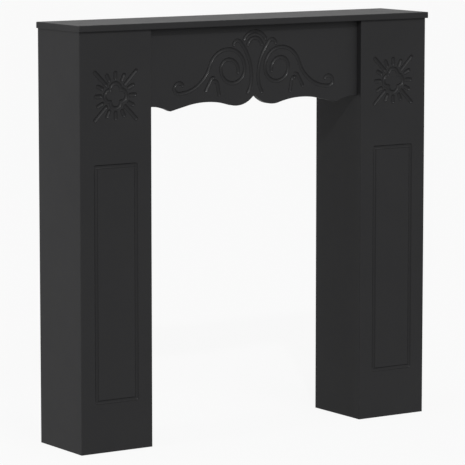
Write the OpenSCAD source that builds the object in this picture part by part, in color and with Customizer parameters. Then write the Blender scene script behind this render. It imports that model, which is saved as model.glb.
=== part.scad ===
// Fireplace surround: two square columns with carved fronts, a scalloped and carved
// frieze between them, and a plain mantel shelf on top.
// X runs from left to right, the front faces -Y, and the floor is at Z = 0.

/* [Overall] */
// Height from the floor to the top of the shelf
total_h = 1000; // [940:10:1150]
// Width of the mantel shelf
shelf_w = 1000; // [980:10:1200]
// Depth of the mantel shelf, from the wall to its front edge
shelf_d = 195; // [175:5:240]
// Thickness of the mantel shelf
shelf_t = 15; // [15:1:22]
// How far the shelf runs past the columns at each end
end_overhang = 4; // [2:1:12]
// How far the shelf runs past the columns at the front
front_overhang = 7; // [3:1:15]
// Radius of the eased edges on the shelf and the column fronts
edge_r = 2; // [1:0.5:3]

/* [Columns] */
// Width of each column
column_w = 195; // [180:5:205]
// Thickness of the column, frieze and rail boards
board_t = 15; // [15:1:18]
// Floor to the underside of the stiffening board inside a column
mid_board_z = 480; // [420:10:560]

/* [Column panel groove] */
// Column edge to the centre line of the groove
panel_inset = 43; // [38:1:48]
// Floor to the centre line of the groove's bottom run
panel_foot = 120; // [90:5:150]
// Top of the column to the centre line of the groove's top run
panel_drop = 313; // [290:5:350]
// Width of the groove at the face
panel_groove_w = 11; // [8:0.5:12]

/* [Rosette] */
// Top of the column to the centre of the rosette
rosette_drop = 148; // [130:1:165]
// Radius of each lobe of the quatrefoil
lobe_r = 14; // [13.5:0.5:14.5]
// Rosette centre to the centre of a lobe
lobe_offset = 15; // [14.5:0.5:15.5]
// Width of the quatrefoil's groove
lobe_groove_w = 10; // [6:0.5:10]
// Rosette centre to the inner end of the short rays
short_ray_start = 40; // [40:1:43]
// Rosette centre to the outer end of the short rays
short_ray_end = 52.5; // [50:0.5:58]
// Rosette centre to the inner end of the diagonal rays
long_ray_start = 36.5; // [35:0.5:42]
// Rosette centre to the outer end of the diagonal rays
long_ray_end = 78.5; // [72:0.5:80]
// Angle of the rays beside each upright and level ray
ray_lean = 26; // [24:0.5:27]
// Width of a ray's groove
ray_w = 11; // [7:0.5:11]

/* [Frieze] */
// Column front to the frieze front
frieze_recess = 16; // [15:1:40]
// Shelf to the tip of the point in the middle of the lower edge
tip_drop = 164.5; // [160:0.5:172]
// Shelf to the rounded low beside the tip
low_drop = 191; // [186:0.5:196]
// Middle of the frieze to that low
low_x = 52; // [46:1:58]
// Shelf to the crest of the long arch
crest_drop = 178.5; // [174:0.5:182]
// Middle of the frieze to that crest
crest_x = 138; // [130:1:146]
// Shelf to the downward point beside the end lobe
cusp_drop = 195.5; // [190:0.5:200]
// Middle of the frieze to that point
cusp_x = 238; // [232:1:244]
// Shelf to the crest of the end lobe
end_drop = 182.5; // [178:0.5:186]
// Middle of the frieze to the crest of the end lobe
end_x = 294; // [286:1:300]

/* [Scroll carving] */
// Angle between the two walls of a carved groove
bit_angle = 90; // [80:5:110]
// Width of the scroll's groove
scroll_w = 11; // [7:0.5:11.5]
// Shelf to the centre of the volute
volute_drop = 103; // [100:0.5:106]
// Middle of the frieze to the top of the volute
volute_x = 76; // [74:1:78]
// Radius of the volute's outer quarter turn
volute_r = 47; // [46:0.5:48]
// Radius of the volute's lower half turn
coil_r = 34; // [33:0.5:35]
// Radius of the quarter turn that enters the eye
eye_r = 22.5; // [21:0.5:24]
// Radius of the last stretch, over the eye and down
lid_r = 27; // [25:0.5:30]
// Middle of the frieze to the lowest point of the tail
tail_x = 215; // [210:1:220]
// Shelf to the lowest point of the tail
tail_drop = 155.5; // [152:0.5:159]
// Radius of the tail's long sweep
tail_r = 92; // [86:1:96]
// Radius of the hook that ends the tail
hook_r = 12.5; // [12:0.5:14]
// Width of the bud, stem, leaf and fan grooves
stem_w = 11; // [7:0.5:11]
// Middle of the frieze to the bud's centre
bud_x = 49.5; // [49.5:0.5:52]
// Shelf to the bud's centre
bud_drop = 47.5; // [46:0.5:49]
// Radius of the bud
bud_r = 11; // [10:0.5:11]
// Middle of the frieze to the stem's waist
stem_x = 9.5; // [8.5:0.5:11]
// Shelf to the stem's waist
stem_drop = 124; // [120:1:128]
// Radius of the stem's flare below its waist
flare_r = 68; // [60:1:76]
// Shelf to the centre of the fan's two arcs
fan_drop = 52; // [51.5:0.5:54]
// Radius of the fan's outer arc
fan_r = 35.5; // [34:0.5:36]
// Radius of the fan's inner arc
fan_core_r = 20.5; // [19:0.5:21]

/* [Back rail] */
// Height of the rail under the shelf
rail_h = 80; // [70:5:120]
// Spacing of the two wall screws
wall_screw_spacing = 400; // [350:10:480]
// Diameter of a wall screw's hole
wall_screw_d = 5; // [4:0.5:6]
// Diameter of that hole's countersink
countersink_d = 10; // [8:0.5:12]

/* [Fittings] */
// Diameter of the wooden dowels
dowel_d = 8; // [6:1:8]
// Length of the wooden dowels
dowel_len = 30; // [28:1:36]
// Depth of a dowel in the face of a board
dowel_seat = 10; // [8:0.5:11]
// Diameter of the cam nuts
cam_d = 15; // [14:0.5:16]
// Thickness of the cam nuts
cam_h = 12; // [11:0.5:12.5]
// Board edge to the centre of a cam nut
cam_reach = 34; // [30:1:38]
// Diameter of the bolt's bore in a board edge
bolt_bore_d = 8; // [7.5:0.5:9]
// Diameter of the bolt's thread
bolt_thread_d = 5; // [4:0.5:6]
// Length of the bolt's thread
bolt_thread_len = 11; // [9:0.5:12]
// Play around each fitting in its hole
fit_play = 0.1; // [0.05:0.05:0.2]

/* [Hidden] */
$fn = 72;

board_paint = [0.16, 0.16, 0.165];
zinc = [0.72, 0.73, 0.75];
beech = [0.80, 0.66, 0.46];

// Planes of the body
column_h = total_h - shelf_t;
half_body = shelf_w / 2 - end_overhang;
half_opening = half_body - column_w;
column_x = half_opening + column_w / 2;
front_y = front_overhang - shelf_d / 2;
back_y = shelf_d / 2;
side_y = front_y + board_t;
side_depth = back_y - side_y;
frieze_y = front_y + frieze_recess;
frieze_mid_y = frieze_y + board_t / 2;
rail_mid_y = back_y - board_t / 2;
inner_face_x = half_opening + board_t;
outer_face_x = half_body - board_t;

// Clearance that every cut runs past a face
past = 1;
// Longest step and largest turn from ring to ring of a groove, and the sides of its round
// ends and corners
ring_gap = 6;
ring_turn = 15;
end_sides = 6;
corner_sides = end_sides / 2;
half_turn = 180;
quarter_turn = 90;
quarters = [for (i = [0:3]) i * quarter_turn];
// Room past the end of a fitting in a blind hole
blind_room = 0.5;
dowel_chamfer = 1;

// Places of the fittings, each kept clear of the edges and of its neighbours
front_dowel_margin = 75;
front_dowel_gaps = 3;
board_dowel_front = 45;
board_dowel_back = 35;
shelf_cam_front = 30;
shelf_cam_back = 32;
frieze_cam_drop = 60;
frieze_cam_rise = 52;
frieze_dowel_drop = 25;
frieze_dowel_rise = 20;
rail_dowel_margin = 18;
frieze_top_dowel_x = 200;
rail_top_dowel_x = 120;
frieze_foot_z = column_h - end_drop;
front_dowel_span = column_h - 2 * front_dowel_margin;
front_dowel_pitch = front_dowel_span / front_dowel_gaps;
front_dowel_z = [for (i = [0:front_dowel_gaps]) front_dowel_margin + i * front_dowel_pitch];
board_dowel_y = [side_y + board_dowel_front, back_y - board_dowel_back];
shelf_cam_y = [side_y + shelf_cam_front, back_y - shelf_cam_back];
shelf_dowel_y = (side_y + back_y) / 2;
side_mid_x = [half_opening + board_t / 2, half_body - board_t / 2];
frieze_cam_z = [column_h - frieze_cam_drop, frieze_foot_z + frieze_cam_rise];
frieze_dowel_z = [column_h - frieze_dowel_drop, frieze_foot_z + frieze_dowel_rise];
rail_mid_z = column_h - rail_h / 2;
rail_dowel_z = [column_h - rail_dowel_margin, column_h - rail_h + rail_dowel_margin];

// Lower edge of the frieze. The low and the long arch are arcs with one tangent, and the
// arch runs straight on from where a tangent reaches the downward point.
arc_step = 3;
low_r = (low_x ^ 2 + (low_drop - tip_drop) ^ 2) / (2 * (low_drop - tip_drop));
low_turn = asin(low_x / low_r);
arch_run = crest_x - low_x;
arch_rise = low_drop - crest_drop;
arch_r = (arch_run ^ 2 + arch_rise ^ 2) / (2 * arch_rise) - low_r;
arch_turn = asin(arch_run / (low_r + arch_r));
cusp_run = cusp_x - crest_x;
cusp_height = arch_r - (cusp_drop - crest_drop);
arch_end = atan2(cusp_run, cusp_height) - acos(arch_r / norm([cusp_run, cusp_height]));
lobe_run = end_x - cusp_x;
lobe_rise = cusp_drop - end_drop;
end_lobe_r = (lobe_run ^ 2 + lobe_rise ^ 2) / (2 * lobe_rise);
lobe_start = asin(lobe_run / end_lobe_r);
lobe_end = asin((half_opening - end_x) / end_lobe_r);

// Where the scroll's circles meet. Each pair of neighbouring arcs shares a tangent.
coil_x = volute_x - volute_r + coil_r;
eye_x = coil_x + coil_r - eye_r;
lid_sweep = 100;
volute_top = volute_r - volute_drop;
tail_centre_z = tail_r - tail_drop;
tail_run = tail_x - volute_x;
tail_rise = volute_top - tail_centre_z;
shoulder_r = (tail_run ^ 2 + tail_rise ^ 2 - tail_r ^ 2) / (2 * (tail_r + tail_rise));
tail_turn = asin(tail_run / (shoulder_r + tail_r));
hook_end = 32;
bud_rise = stem_drop - bud_drop;
stem_centre_x = (bud_x ^ 2 + bud_rise ^ 2 - (stem_x + bud_r) ^ 2) / (2 * (bud_x - stem_x - bud_r));
stem_r = stem_centre_x - stem_x;
stem_turn = atan2(bud_rise, bud_x - stem_centre_x);
bud_end = 10;
flare_turn = 33;
fan_end = 30;
fan_core_end = 12;

// Strokes of the two leaves under a scroll: the centre of each one's curl, and the angles
// where the curl starts and where it goes over into the straight
outer_leaf = [118, -129.5];
outer_leaf_turn = [90, 30];
inner_leaf = [114, -138];
inner_leaf_turn = [80, 170];
leaf_r = 7.5;
outer_leaf_len = 30;
inner_leaf_len = 26;

function point_on(centre, r, a) = [centre.x + r * cos(a), centre.y + r * sin(a)];
function without_first(list) = [for (i = [1:len(list) - 1]) list[i]];

// Carving. The face lies at Z = 0, with X to the right and Y up the board. A groove
// follows a row of rings, each [x, y, heading, stretch]: where the tip of the bit is,
// the way it moves there, and how much a mitre widens the cut.

function groove_depth(w) = w / 2 / tan(bit_angle / 2);
function cutter_half(w) = (groove_depth(w) + past) * tan(bit_angle / 2);

function ring_at(p, heading, stretch = 1) = [p.x, p.y, heading, stretch];

// Rings along an arc from angle a to angle b, either way round
function arc_rings(centre, r, a, b) =
    let (turn = abs(b - a), steps = ceil(max(turn / ring_turn, turn * PI / half_turn * r / ring_gap)))
    [for (i = [0:steps]) let (t = a + (b - a) * i / steps)
        ring_at(point_on(centre, r, t), t + quarter_turn * sign(b - a))];

function rim(ring, half, side) =
    [ring[0] - side * sin(ring[2]) * ring[3] * half, ring[1] + side * cos(ring[2]) * ring[3] * half, past];

// Rim points of the round end that the pointed bit leaves, from one side to the other
function end_rim(ring, half, from) =
    [for (k = [1:end_sides - 1])
        let (t = ring[2] + from + half_turn * k / end_sides, p = point_on(ring, half, t))
        [p.x, p.y, past]];

// V groove along the rings, with round ends, or joined up where it is closed
module groove(rings, w, closed = false) {
    n = len(rings);
    half = cutter_half(w);
    left = [for (ring = rings) rim(ring, half, 1)];
    tips = [for (ring = rings) [ring[0], ring[1], -groove_depth(w)]];
    right = [for (ring = rings) rim(ring, half, -1)];
    tip = n;
    far = 2 * n;
    walls = [for (i = [0:closed ? n - 1 : n - 2]) let (j = (i + 1) % n)
        each [[i, j, far + j], [i, far + j, far + i],
            [j, i, tip + i], [j, tip + i, tip + j],
            [far + i, far + j, tip + j], [far + i, tip + j, tip + i]]];
    last = n - 1;
    front = [far + last, each [for (k = [0:end_sides - 2]) 3 * n + k], last];
    back = [0, each [for (k = [0:end_sides - 2]) 3 * n + end_sides - 1 + k], far];
    ends = [for (end = [[front, tip + last], [back, tip]])
        each [[for (k = [end_sides:-1:0]) end[0][k]],
            each [for (k = [0:end_sides - 1]) [end[0][k], end[0][k + 1], end[1]]]]];
    polyhedron(
        points = concat(left, tips, right,
            closed ? [] : concat(end_rim(rings[last], half, -quarter_turn),
                end_rim(rings[0], half, quarter_turn))),
        faces = closed ? walls : concat(walls, ends),
        convexity = 8);
}

module ray(direction, from, to, w) {
    groove([ring_at(point_on([0, 0], from, direction), direction),
        ring_at(point_on([0, 0], to, direction), direction)], w);
}

// Quatrefoil of four arcs that meet in notches on the diagonals, as one closed groove
module quatrefoil() {
    notch = (lobe_offset + sqrt(2 * lobe_r ^ 2 - lobe_offset ^ 2)) / 2;
    reach = atan2(notch, notch - lobe_offset);
    notch_room = 22;
    lobe = arc_rings([lobe_offset, 0], lobe_r, notch_room - reach, reach - notch_room);
    diagonal = quarter_turn / 2;
    rings = concat([ring_at([notch, -notch], diagonal, 1 / cos(reach - diagonal))], lobe);
    groove([for (quarter = quarters) each turned(rings, quarter)], lobe_groove_w, closed = true);
}

function turned(rings, angle) =
    [for (ring = rings) [ring[0] * cos(angle) - ring[1] * sin(angle),
        ring[0] * sin(angle) + ring[1] * cos(angle), ring[2] + angle, ring[3]]];

// Sunburst of sixteen rays round the quatrefoil
module rosette() {
    quatrefoil();
    for (quarter = quarters) {
        ray(quarter + quarter_turn / 2, long_ray_start, long_ray_end, ray_w);
        for (lean = [-ray_lean, 0, ray_lean])
            ray(quarter + lean, short_ray_start, short_ray_end, ray_w);
    }
}

// Groove round the column's tall panel. Where the pointed bit turns a corner, it leaves
// the groove sharp on the inside and round on the outside.
module panel_groove() {
    w = column_w / 2 - panel_inset;
    h = (column_h - panel_drop - panel_foot) / 2;
    half = cutter_half(panel_groove_w);
    corners = [[w, h], [-w, h], [-w, -h], [w, -h]];
    count = len(corners);
    tips = [for (c = corners) [c.x, c.y, -groove_depth(panel_groove_w)]];
    inner = [for (c = corners) [c.x - sign(c.x) * half, c.y - sign(c.y) * half, past]];
    outer = [for (i = [0:count - 1], k = [0:corner_sides])
        let (p = point_on(corners[i], half, quarter_turn * (i + k / corner_sides))) [p.x, p.y, past]];
    inside = count;
    outside = 2 * count;
    stride = corner_sides + 1;
    faces = [for (i = [0:count - 1])
        let (j = (i + 1) % count, first = outside + stride * i, last = first + corner_sides,
            next = outside + stride * j)
        each concat(
            [[inside + i, inside + j, next, last], [last, next, j, i], [inside + j, inside + i, i, j]],
            [for (k = [first:last - 1]) [inside + i, k + 1, k]],
            [for (k = [first:last - 1]) [k, k + 1, i]])];
    polyhedron(points = concat(tips, inner, outer), faces = faces, convexity = 8);
}

// The S-shaped scroll on the right-hand half: hook, tail, shoulder and volute
module scroll() {
    full_turn = 2 * half_turn;
    lowest = full_turn - quarter_turn;
    shoulder_start = quarter_turn - tail_turn;
    lid_end = quarter_turn + lid_sweep;
    groove(concat(
        arc_rings([tail_x, hook_r - tail_drop], hook_r, half_turn - hook_end, -quarter_turn),
        without_first(arc_rings([tail_x, tail_centre_z], tail_r, lowest, lowest - tail_turn)),
        without_first(arc_rings([volute_x, volute_top - shoulder_r], shoulder_r,
            shoulder_start, quarter_turn)),
        without_first(arc_rings([volute_x, -volute_drop], volute_r, quarter_turn, half_turn)),
        without_first(arc_rings([coil_x, -volute_drop], coil_r, half_turn, full_turn)),
        without_first(arc_rings([eye_x, -volute_drop], eye_r, 0, quarter_turn)),
        without_first(arc_rings([eye_x, eye_r - volute_drop - lid_r], lid_r, quarter_turn, lid_end))),
        scroll_w);
}

// Bud that curls over, on a stem that falls to its waist and flares again
module bud_and_stem() {
    groove(concat(
        arc_rings([bud_x, -bud_drop], bud_r, bud_end, stem_turn),
        without_first(arc_rings([stem_centre_x, -stem_drop], stem_r, stem_turn, half_turn)),
        without_first(arc_rings([stem_x + flare_r, -stem_drop], flare_r,
            half_turn, half_turn + flare_turn))),
        stem_w);
}

// Two strokes that hang below the scroll, one to each side
module leaves() {
    leaf(outer_leaf, outer_leaf_turn, outer_leaf_len);
    leaf(inner_leaf, inner_leaf_turn, inner_leaf_len);
}

// Stroke that curls over at its top, from one angle to another, and then runs straight
module leaf(centre, turn, length) {
    heading = turn[1] + quarter_turn * sign(turn[1] - turn[0]);
    tip = point_on(point_on(centre, leaf_r, turn[1]), length, heading);
    groove(concat(arc_rings(centre, leaf_r, turn[0], turn[1]), [ring_at(tip, heading)]), stem_w);
}

// Two arcs above the middle, one inside the other
module fan() {
    groove(arc_rings([0, -fan_drop], fan_r, fan_end, half_turn - fan_end), stem_w);
    groove(arc_rings([0, -fan_drop], fan_core_r, fan_core_end, half_turn - fan_core_end), stem_w);
}

module frieze_carving() {
    fan();
    for (side = [0, 1])
        mirror([side, 0, 0]) {
            scroll();
            bud_and_stem();
            leaves();
        }
}

// Fittings. The board edge lies at Z = 0 and the fitting runs into it along +Z;
// the cam nut opens towards +X, in the middle plane of the board.

// Turns and moves a fitting to p, with its +Z along into and its +X along open
module joint_at(p, into, open) {
    across = cross(into, open);
    multmatrix([[open.x, across.x, into.x, p.x],
        [open.y, across.y, into.y, p.y],
        [open.z, across.z, into.z, p.z],
        [0, 0, 0, 1]]) children();
}

module dowel() {
    r = dowel_d / 2 - fit_play;
    rotate_extrude()
        polygon([[0, -dowel_seat], [r - dowel_chamfer, -dowel_seat], [r, dowel_chamfer - dowel_seat],
            [r, dowel_len - dowel_seat - dowel_chamfer], [r - dowel_chamfer, dowel_len - dowel_seat],
            [0, dowel_len - dowel_seat]]);
}

module dowel_hole() {
    translate([0, 0, -dowel_seat - blind_room]) cylinder(h = dowel_len + 2 * blind_room, d = dowel_d);
}

bolt_collar_h = 3;
bolt_neck_d = 3.8;
bolt_head_d = 6.4;
bolt_head_h = 4;
bolt_neck_len = 6;

// Connecting bolt: thread, collar, shank, neck and the head that the cam nut pulls on
module cam_bolt() {
    thread_r = bolt_thread_d / 2 - fit_play;
    collar_r = bolt_bore_d / 2 - fit_play;
    shank_r = bolt_head_d / 2;
    head_top = cam_reach + bolt_head_h / 2;
    head_base = head_top - bolt_head_h;
    shank_top = head_base - bolt_neck_len;
    rotate_extrude()
        polygon([[0, -bolt_thread_len], [thread_r, -bolt_thread_len], [thread_r, 0], [collar_r, 0],
            [collar_r, bolt_collar_h], [shank_r, bolt_collar_h], [shank_r, shank_top],
            [bolt_neck_d / 2, shank_top], [bolt_neck_d / 2, head_base], [bolt_head_d / 2, head_base],
            [bolt_head_d / 2, head_top], [0, head_top]]);
}

module bolt_hole() {
    translate([0, 0, -bolt_thread_len - blind_room])
        cylinder(h = bolt_thread_len + blind_room + past, d = bolt_thread_d);
    cylinder(h = cam_reach, d = bolt_bore_d);
}

module cam_hole() {
    translate([board_t / 2 + past, 0, cam_reach])
        rotate([0, -90, 0]) cylinder(h = cam_h + blind_room + past, d = cam_d);
}

// Cam nut with its chamber for the bolt's head, the slot that the neck runs in,
// the mouth that takes the head and a cross recess for the driver
module cam_nut() {
    play = 0.3;
    head_room = bolt_head_d + 2 * play;
    neck_room = bolt_neck_d + 2 * play;
    slot_w = bolt_neck_d + play;
    mouth_turn = 120;
    recess_turns = [45, 135];
    recess_len = 9;
    recess_w = 1.6;
    recess_depth = 2.2;
    chamber_room = 2;
    chamber_r = bolt_head_h / 2 + chamber_room;
    translate([0, 0, cam_reach]) difference() {
        translate([board_t / 2, 0, 0])
            rotate([0, -90, 0]) cylinder(h = cam_h, d = cam_d - 2 * fit_play);
        rotate([0, 90, 0]) cylinder(h = head_room + play, r = chamber_r, center = true);
        rotate([180, 0, 0]) cylinder(h = cam_d, d = neck_room);
        rotate([0, 90, 0]) rotate_extrude(angle = mouth_turn)
            translate([chamber_r / 2, -slot_w / 2]) square([cam_d, slot_w]);
        rotate([mouth_turn - half_turn, 0, 0]) cylinder(h = cam_d, d = head_room);
        for (turn = recess_turns)
            translate([board_t / 2, 0, 0]) rotate([turn, 0, 0])
                cube([2 * recess_depth, recess_w, recess_len], center = true);
    }
}

// Boards. Those of a column are drawn on the right-hand side and mirrored for the left.

// Board section with its two front edges eased
module eased_section(w, t, r) {
    translate([0, r]) square([w, t - r]);
    translate([r, 0]) square([w - 2 * r, t]);
    for (x = [r, w - r]) translate([x, r]) circle(r = r);
}

module front_dowel_places() {
    for (x = side_mid_x, z = front_dowel_z) joint_at([x, side_y, z], [0, 1, 0], [1, 0, 0]) children();
}

module board_dowel_places(underside) {
    z = underside + board_t / 2;
    for (y = board_dowel_y) {
        joint_at([inner_face_x, y, z], [1, 0, 0], [0, 0, 1]) children();
        joint_at([outer_face_x, y, z], [-1, 0, 0], [0, 0, 1]) children();
    }
}

// Cam joints of the shelf with the two sides of a column; the nuts open into the column
module shelf_cam_places() {
    for (y = shelf_cam_y) {
        joint_at([side_mid_x[0], y, column_h], [0, 0, -1], [1, 0, 0]) children();
        joint_at([side_mid_x[1], y, column_h], [0, 0, -1], [-1, 0, 0]) children();
    }
}

module shelf_dowel_places() {
    for (x = side_mid_x) joint_at([x, shelf_dowel_y, column_h], [0, 0, -1], [1, 0, 0]) children();
}

module top_dowel_places() {
    joint_at([frieze_top_dowel_x, frieze_mid_y, column_h], [0, 0, -1], [1, 0, 0]) children();
    joint_at([rail_top_dowel_x, rail_mid_y, column_h], [0, 0, -1], [1, 0, 0]) children();
}

module frieze_cam_places() {
    for (z = frieze_cam_z)
        joint_at([half_opening, frieze_mid_y, z], [-1, 0, 0], [0, 1, 0]) children();
}

module frieze_dowel_places() {
    for (z = frieze_dowel_z)
        joint_at([half_opening, frieze_mid_y, z], [-1, 0, 0], [0, 1, 0]) children();
}

module rail_cam_places() {
    joint_at([half_opening, rail_mid_y, rail_mid_z], [-1, 0, 0], [0, 1, 0]) children();
}

module rail_dowel_places() {
    for (z = rail_dowel_z)
        joint_at([half_opening, rail_mid_y, z], [-1, 0, 0], [0, 1, 0]) children();
}

module both_sides() {
    children();
    mirror([1, 0, 0]) children();
}

module front_panel() {
    color(board_paint) difference() {
        translate([half_opening, front_y, 0])
            linear_extrude(column_h) eased_section(column_w, board_t, edge_r);
        translate([column_x, front_y, (column_h - panel_drop + panel_foot) / 2])
            rotate([90, 0, 0]) panel_groove();
        translate([column_x, front_y, column_h - rosette_drop]) rotate([90, 0, 0]) rosette();
        front_dowel_places() dowel_hole();
    }
}

module side_blank(x) {
    translate([x, side_y, 0]) cube([board_t, side_depth, column_h]);
}

module side_holes() {
    front_dowel_places() dowel_hole();
    board_dowel_places(0) dowel_hole();
    board_dowel_places(mid_board_z) dowel_hole();
    shelf_dowel_places() dowel_hole();
    shelf_cam_places() {
        bolt_hole();
        cam_hole();
    }
}

module outer_side() {
    color(board_paint) difference() {
        side_blank(outer_face_x);
        side_holes();
    }
}

module inner_side() {
    color(board_paint) difference() {
        side_blank(half_opening);
        side_holes();
        frieze_dowel_places() dowel_hole();
        frieze_cam_places() bolt_hole();
        rail_dowel_places() dowel_hole();
        rail_cam_places() bolt_hole();
    }
}

module cross_board(underside) {
    color(board_paint) difference() {
        translate([inner_face_x, side_y, underside])
            cube([outer_face_x - inner_face_x, side_depth, board_t]);
        board_dowel_places(underside) dowel_hole();
    }
}

// Shelf, eased along its front and both ends and square along the wall
module mantel_shelf() {
    color(board_paint) difference() {
        intersection() {
            translate([-shelf_w / 2, -shelf_d / 2, column_h])
                rotate([90, 0, 90]) linear_extrude(shelf_w) shelf_end_section();
            translate([-shelf_w / 2, shelf_d / 2, column_h])
                rotate([90, 0, 0]) linear_extrude(shelf_d) shelf_front_section();
        }
        both_sides() {
            shelf_cam_places() bolt_hole();
            shelf_dowel_places() dowel_hole();
            top_dowel_places() dowel_hole();
        }
    }
}

module shelf_end_section() {
    translate([edge_r, 0]) square([shelf_d - edge_r, shelf_t]);
    translate([0, edge_r]) square([shelf_d - edge_r, shelf_t - 2 * edge_r]);
    for (z = [edge_r, shelf_t - edge_r]) translate([edge_r, z]) circle(r = edge_r);
}

module shelf_front_section() {
    translate([edge_r, 0]) square([shelf_w - 2 * edge_r, shelf_t]);
    translate([0, edge_r]) square([shelf_w, shelf_t - 2 * edge_r]);
    for (x = [edge_r, shelf_w - edge_r], z = [edge_r, shelf_t - edge_r])
        translate([x, z]) circle(r = edge_r);
}

// Points on an arc whose angles are measured from straight up, clockwise
function arc_points(centre, r, a, b) =
    let (count = max(1, ceil(abs(b - a) / arc_step)))
    [for (i = [0:count]) let (t = a + (b - a) * i / count) centre + r * [sin(t), cos(t)]];

// Lower edge of the frieze, from its middle outwards: a point, a rounded low, a long
// arch, a straight fall to a downward point and the lobe at the column
function lower_edge() = concat(
    arc_points([low_x, low_r - low_drop], low_r, half_turn + low_turn, half_turn - arch_turn),
    without_first(arc_points([crest_x, -crest_drop - arch_r], arch_r, -arch_turn, arch_end)),
    arc_points([end_x, -end_drop - end_lobe_r], end_lobe_r, -lobe_start, lobe_end));

module frieze_panel() {
    half = lower_edge();
    outline = concat(half, [[half_opening, 0], [-half_opening, 0]],
        [for (i = [len(half) - 1:-1:1]) [-half[i].x, half[i].y]]);
    color(board_paint) difference() {
        translate([0, frieze_y, column_h]) rotate([90, 0, 0]) difference() {
            translate([0, 0, -board_t]) linear_extrude(board_t) polygon(outline);
            frieze_carving();
        }
        both_sides() {
            frieze_dowel_places() dowel_hole();
            frieze_cam_places() {
                bolt_hole();
                cam_hole();
            }
            top_dowel_places() dowel_hole();
        }
    }
}

module back_rail() {
    countersink_h = (countersink_d - wall_screw_d) / 2;
    color(board_paint) difference() {
        translate([-half_opening, back_y - board_t, column_h - rail_h])
            cube([2 * half_opening, board_t, rail_h]);
        both_sides() {
            rail_dowel_places() dowel_hole();
            rail_cam_places() {
                bolt_hole();
                cam_hole();
            }
            top_dowel_places() dowel_hole();
            translate([wall_screw_spacing / 2, back_y - board_t, rail_mid_z])
                rotate([-90, 0, 0]) {
                    translate([0, 0, -past]) cylinder(h = board_t + 2 * past, d = wall_screw_d);
                    cylinder(h = countersink_h, d1 = countersink_d, d2 = wall_screw_d);
                }
        }
    }
}

// Groups of identical fittings

module front_dowels() {
    color(beech) front_dowel_places() dowel();
}

module board_dowels() {
    color(beech) {
        board_dowel_places(0) dowel();
        board_dowel_places(mid_board_z) dowel();
    }
}

module shelf_dowels() {
    color(beech) both_sides() {
        shelf_dowel_places() dowel();
        top_dowel_places() dowel();
    }
}

mantel_shelf();
frieze_panel();
back_rail();
mirror([1, 0, 0]) front_panel();  // left_front_panel
mirror([1, 0, 0]) outer_side();  // left_outer_side
mirror([1, 0, 0]) inner_side();  // left_inner_side
mirror([1, 0, 0]) cross_board(0);  // left_base_board
mirror([1, 0, 0]) cross_board(mid_board_z);  // left_mid_board
front_panel();  // right_front_panel
outer_side();  // right_outer_side
inner_side();  // right_inner_side
cross_board(0);  // right_base_board
cross_board(mid_board_z);  // right_mid_board
mirror([1, 0, 0]) front_dowels();  // left_front_dowels
mirror([1, 0, 0]) board_dowels();  // left_board_dowels
front_dowels();  // right_front_dowels
board_dowels();  // right_board_dowels
color(zinc) both_sides() shelf_cam_places() cam_nut();  // shelf_cam_nuts
color(zinc) both_sides() shelf_cam_places() cam_bolt();  // shelf_cam_bolts
shelf_dowels();
color(zinc) both_sides() frieze_cam_places() cam_nut();  // frieze_cam_nuts
color(zinc) both_sides() frieze_cam_places() cam_bolt();  // frieze_cam_bolts
color(beech) both_sides() frieze_dowel_places() dowel();  // frieze_dowels
color(zinc) both_sides() rail_cam_places() cam_nut();  // rail_cam_nuts
color(zinc) both_sides() rail_cam_places() cam_bolt();  // rail_cam_bolts
color(beech) both_sides() rail_dowel_places() dowel();  // rail_dowels
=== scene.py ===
"""Fireplace surround in satin black paint: plain boards with eased edges, a scalloped frieze and
two column fronts carved with a round-nosed bit, and the cam fittings and dowels that join them."""

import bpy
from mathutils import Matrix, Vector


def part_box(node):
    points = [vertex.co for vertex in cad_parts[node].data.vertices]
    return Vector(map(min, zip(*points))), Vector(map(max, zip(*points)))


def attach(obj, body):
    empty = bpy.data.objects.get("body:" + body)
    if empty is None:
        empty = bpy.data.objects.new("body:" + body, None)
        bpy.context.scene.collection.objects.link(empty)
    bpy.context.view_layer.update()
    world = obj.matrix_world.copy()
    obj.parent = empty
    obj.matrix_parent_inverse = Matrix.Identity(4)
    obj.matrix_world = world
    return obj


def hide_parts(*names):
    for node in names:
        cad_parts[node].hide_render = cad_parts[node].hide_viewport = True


bl_info = {
    "name": "Fireplace surround",
    "version": (1, 0, 0),
    "blender": (4, 5, 0),
    "location": "3D View > Sidebar > Surround",
    "description": "Finishes a fireplace surround's boards and fittings and sets it on a floor",
    "category": "Object",
}

import math

import bmesh
import bpy
import numpy as np
from bpy.props import FloatProperty, FloatVectorProperty, IntProperty, PointerProperty
from mathutils import Matrix, Vector
from mathutils.geometry import delaunay_2d_cdt

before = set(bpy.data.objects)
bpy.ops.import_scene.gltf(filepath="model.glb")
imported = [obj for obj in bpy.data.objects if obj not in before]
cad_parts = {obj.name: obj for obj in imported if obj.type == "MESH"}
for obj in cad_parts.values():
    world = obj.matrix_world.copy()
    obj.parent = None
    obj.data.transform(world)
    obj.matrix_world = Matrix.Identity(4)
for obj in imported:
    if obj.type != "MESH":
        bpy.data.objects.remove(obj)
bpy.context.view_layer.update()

BODY = "root"
MM = 0.001
AXES = "xyz"

FRIEZE_LOW, FRIEZE_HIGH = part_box("frieze_panel")
FRONT_LOW, FRONT_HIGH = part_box("right_front_panel")
COLUMN_X = (FRONT_LOW.x + FRONT_HIGH.x) / 2
COLUMN_W = FRONT_HIGH.x - FRONT_LOW.x

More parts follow.
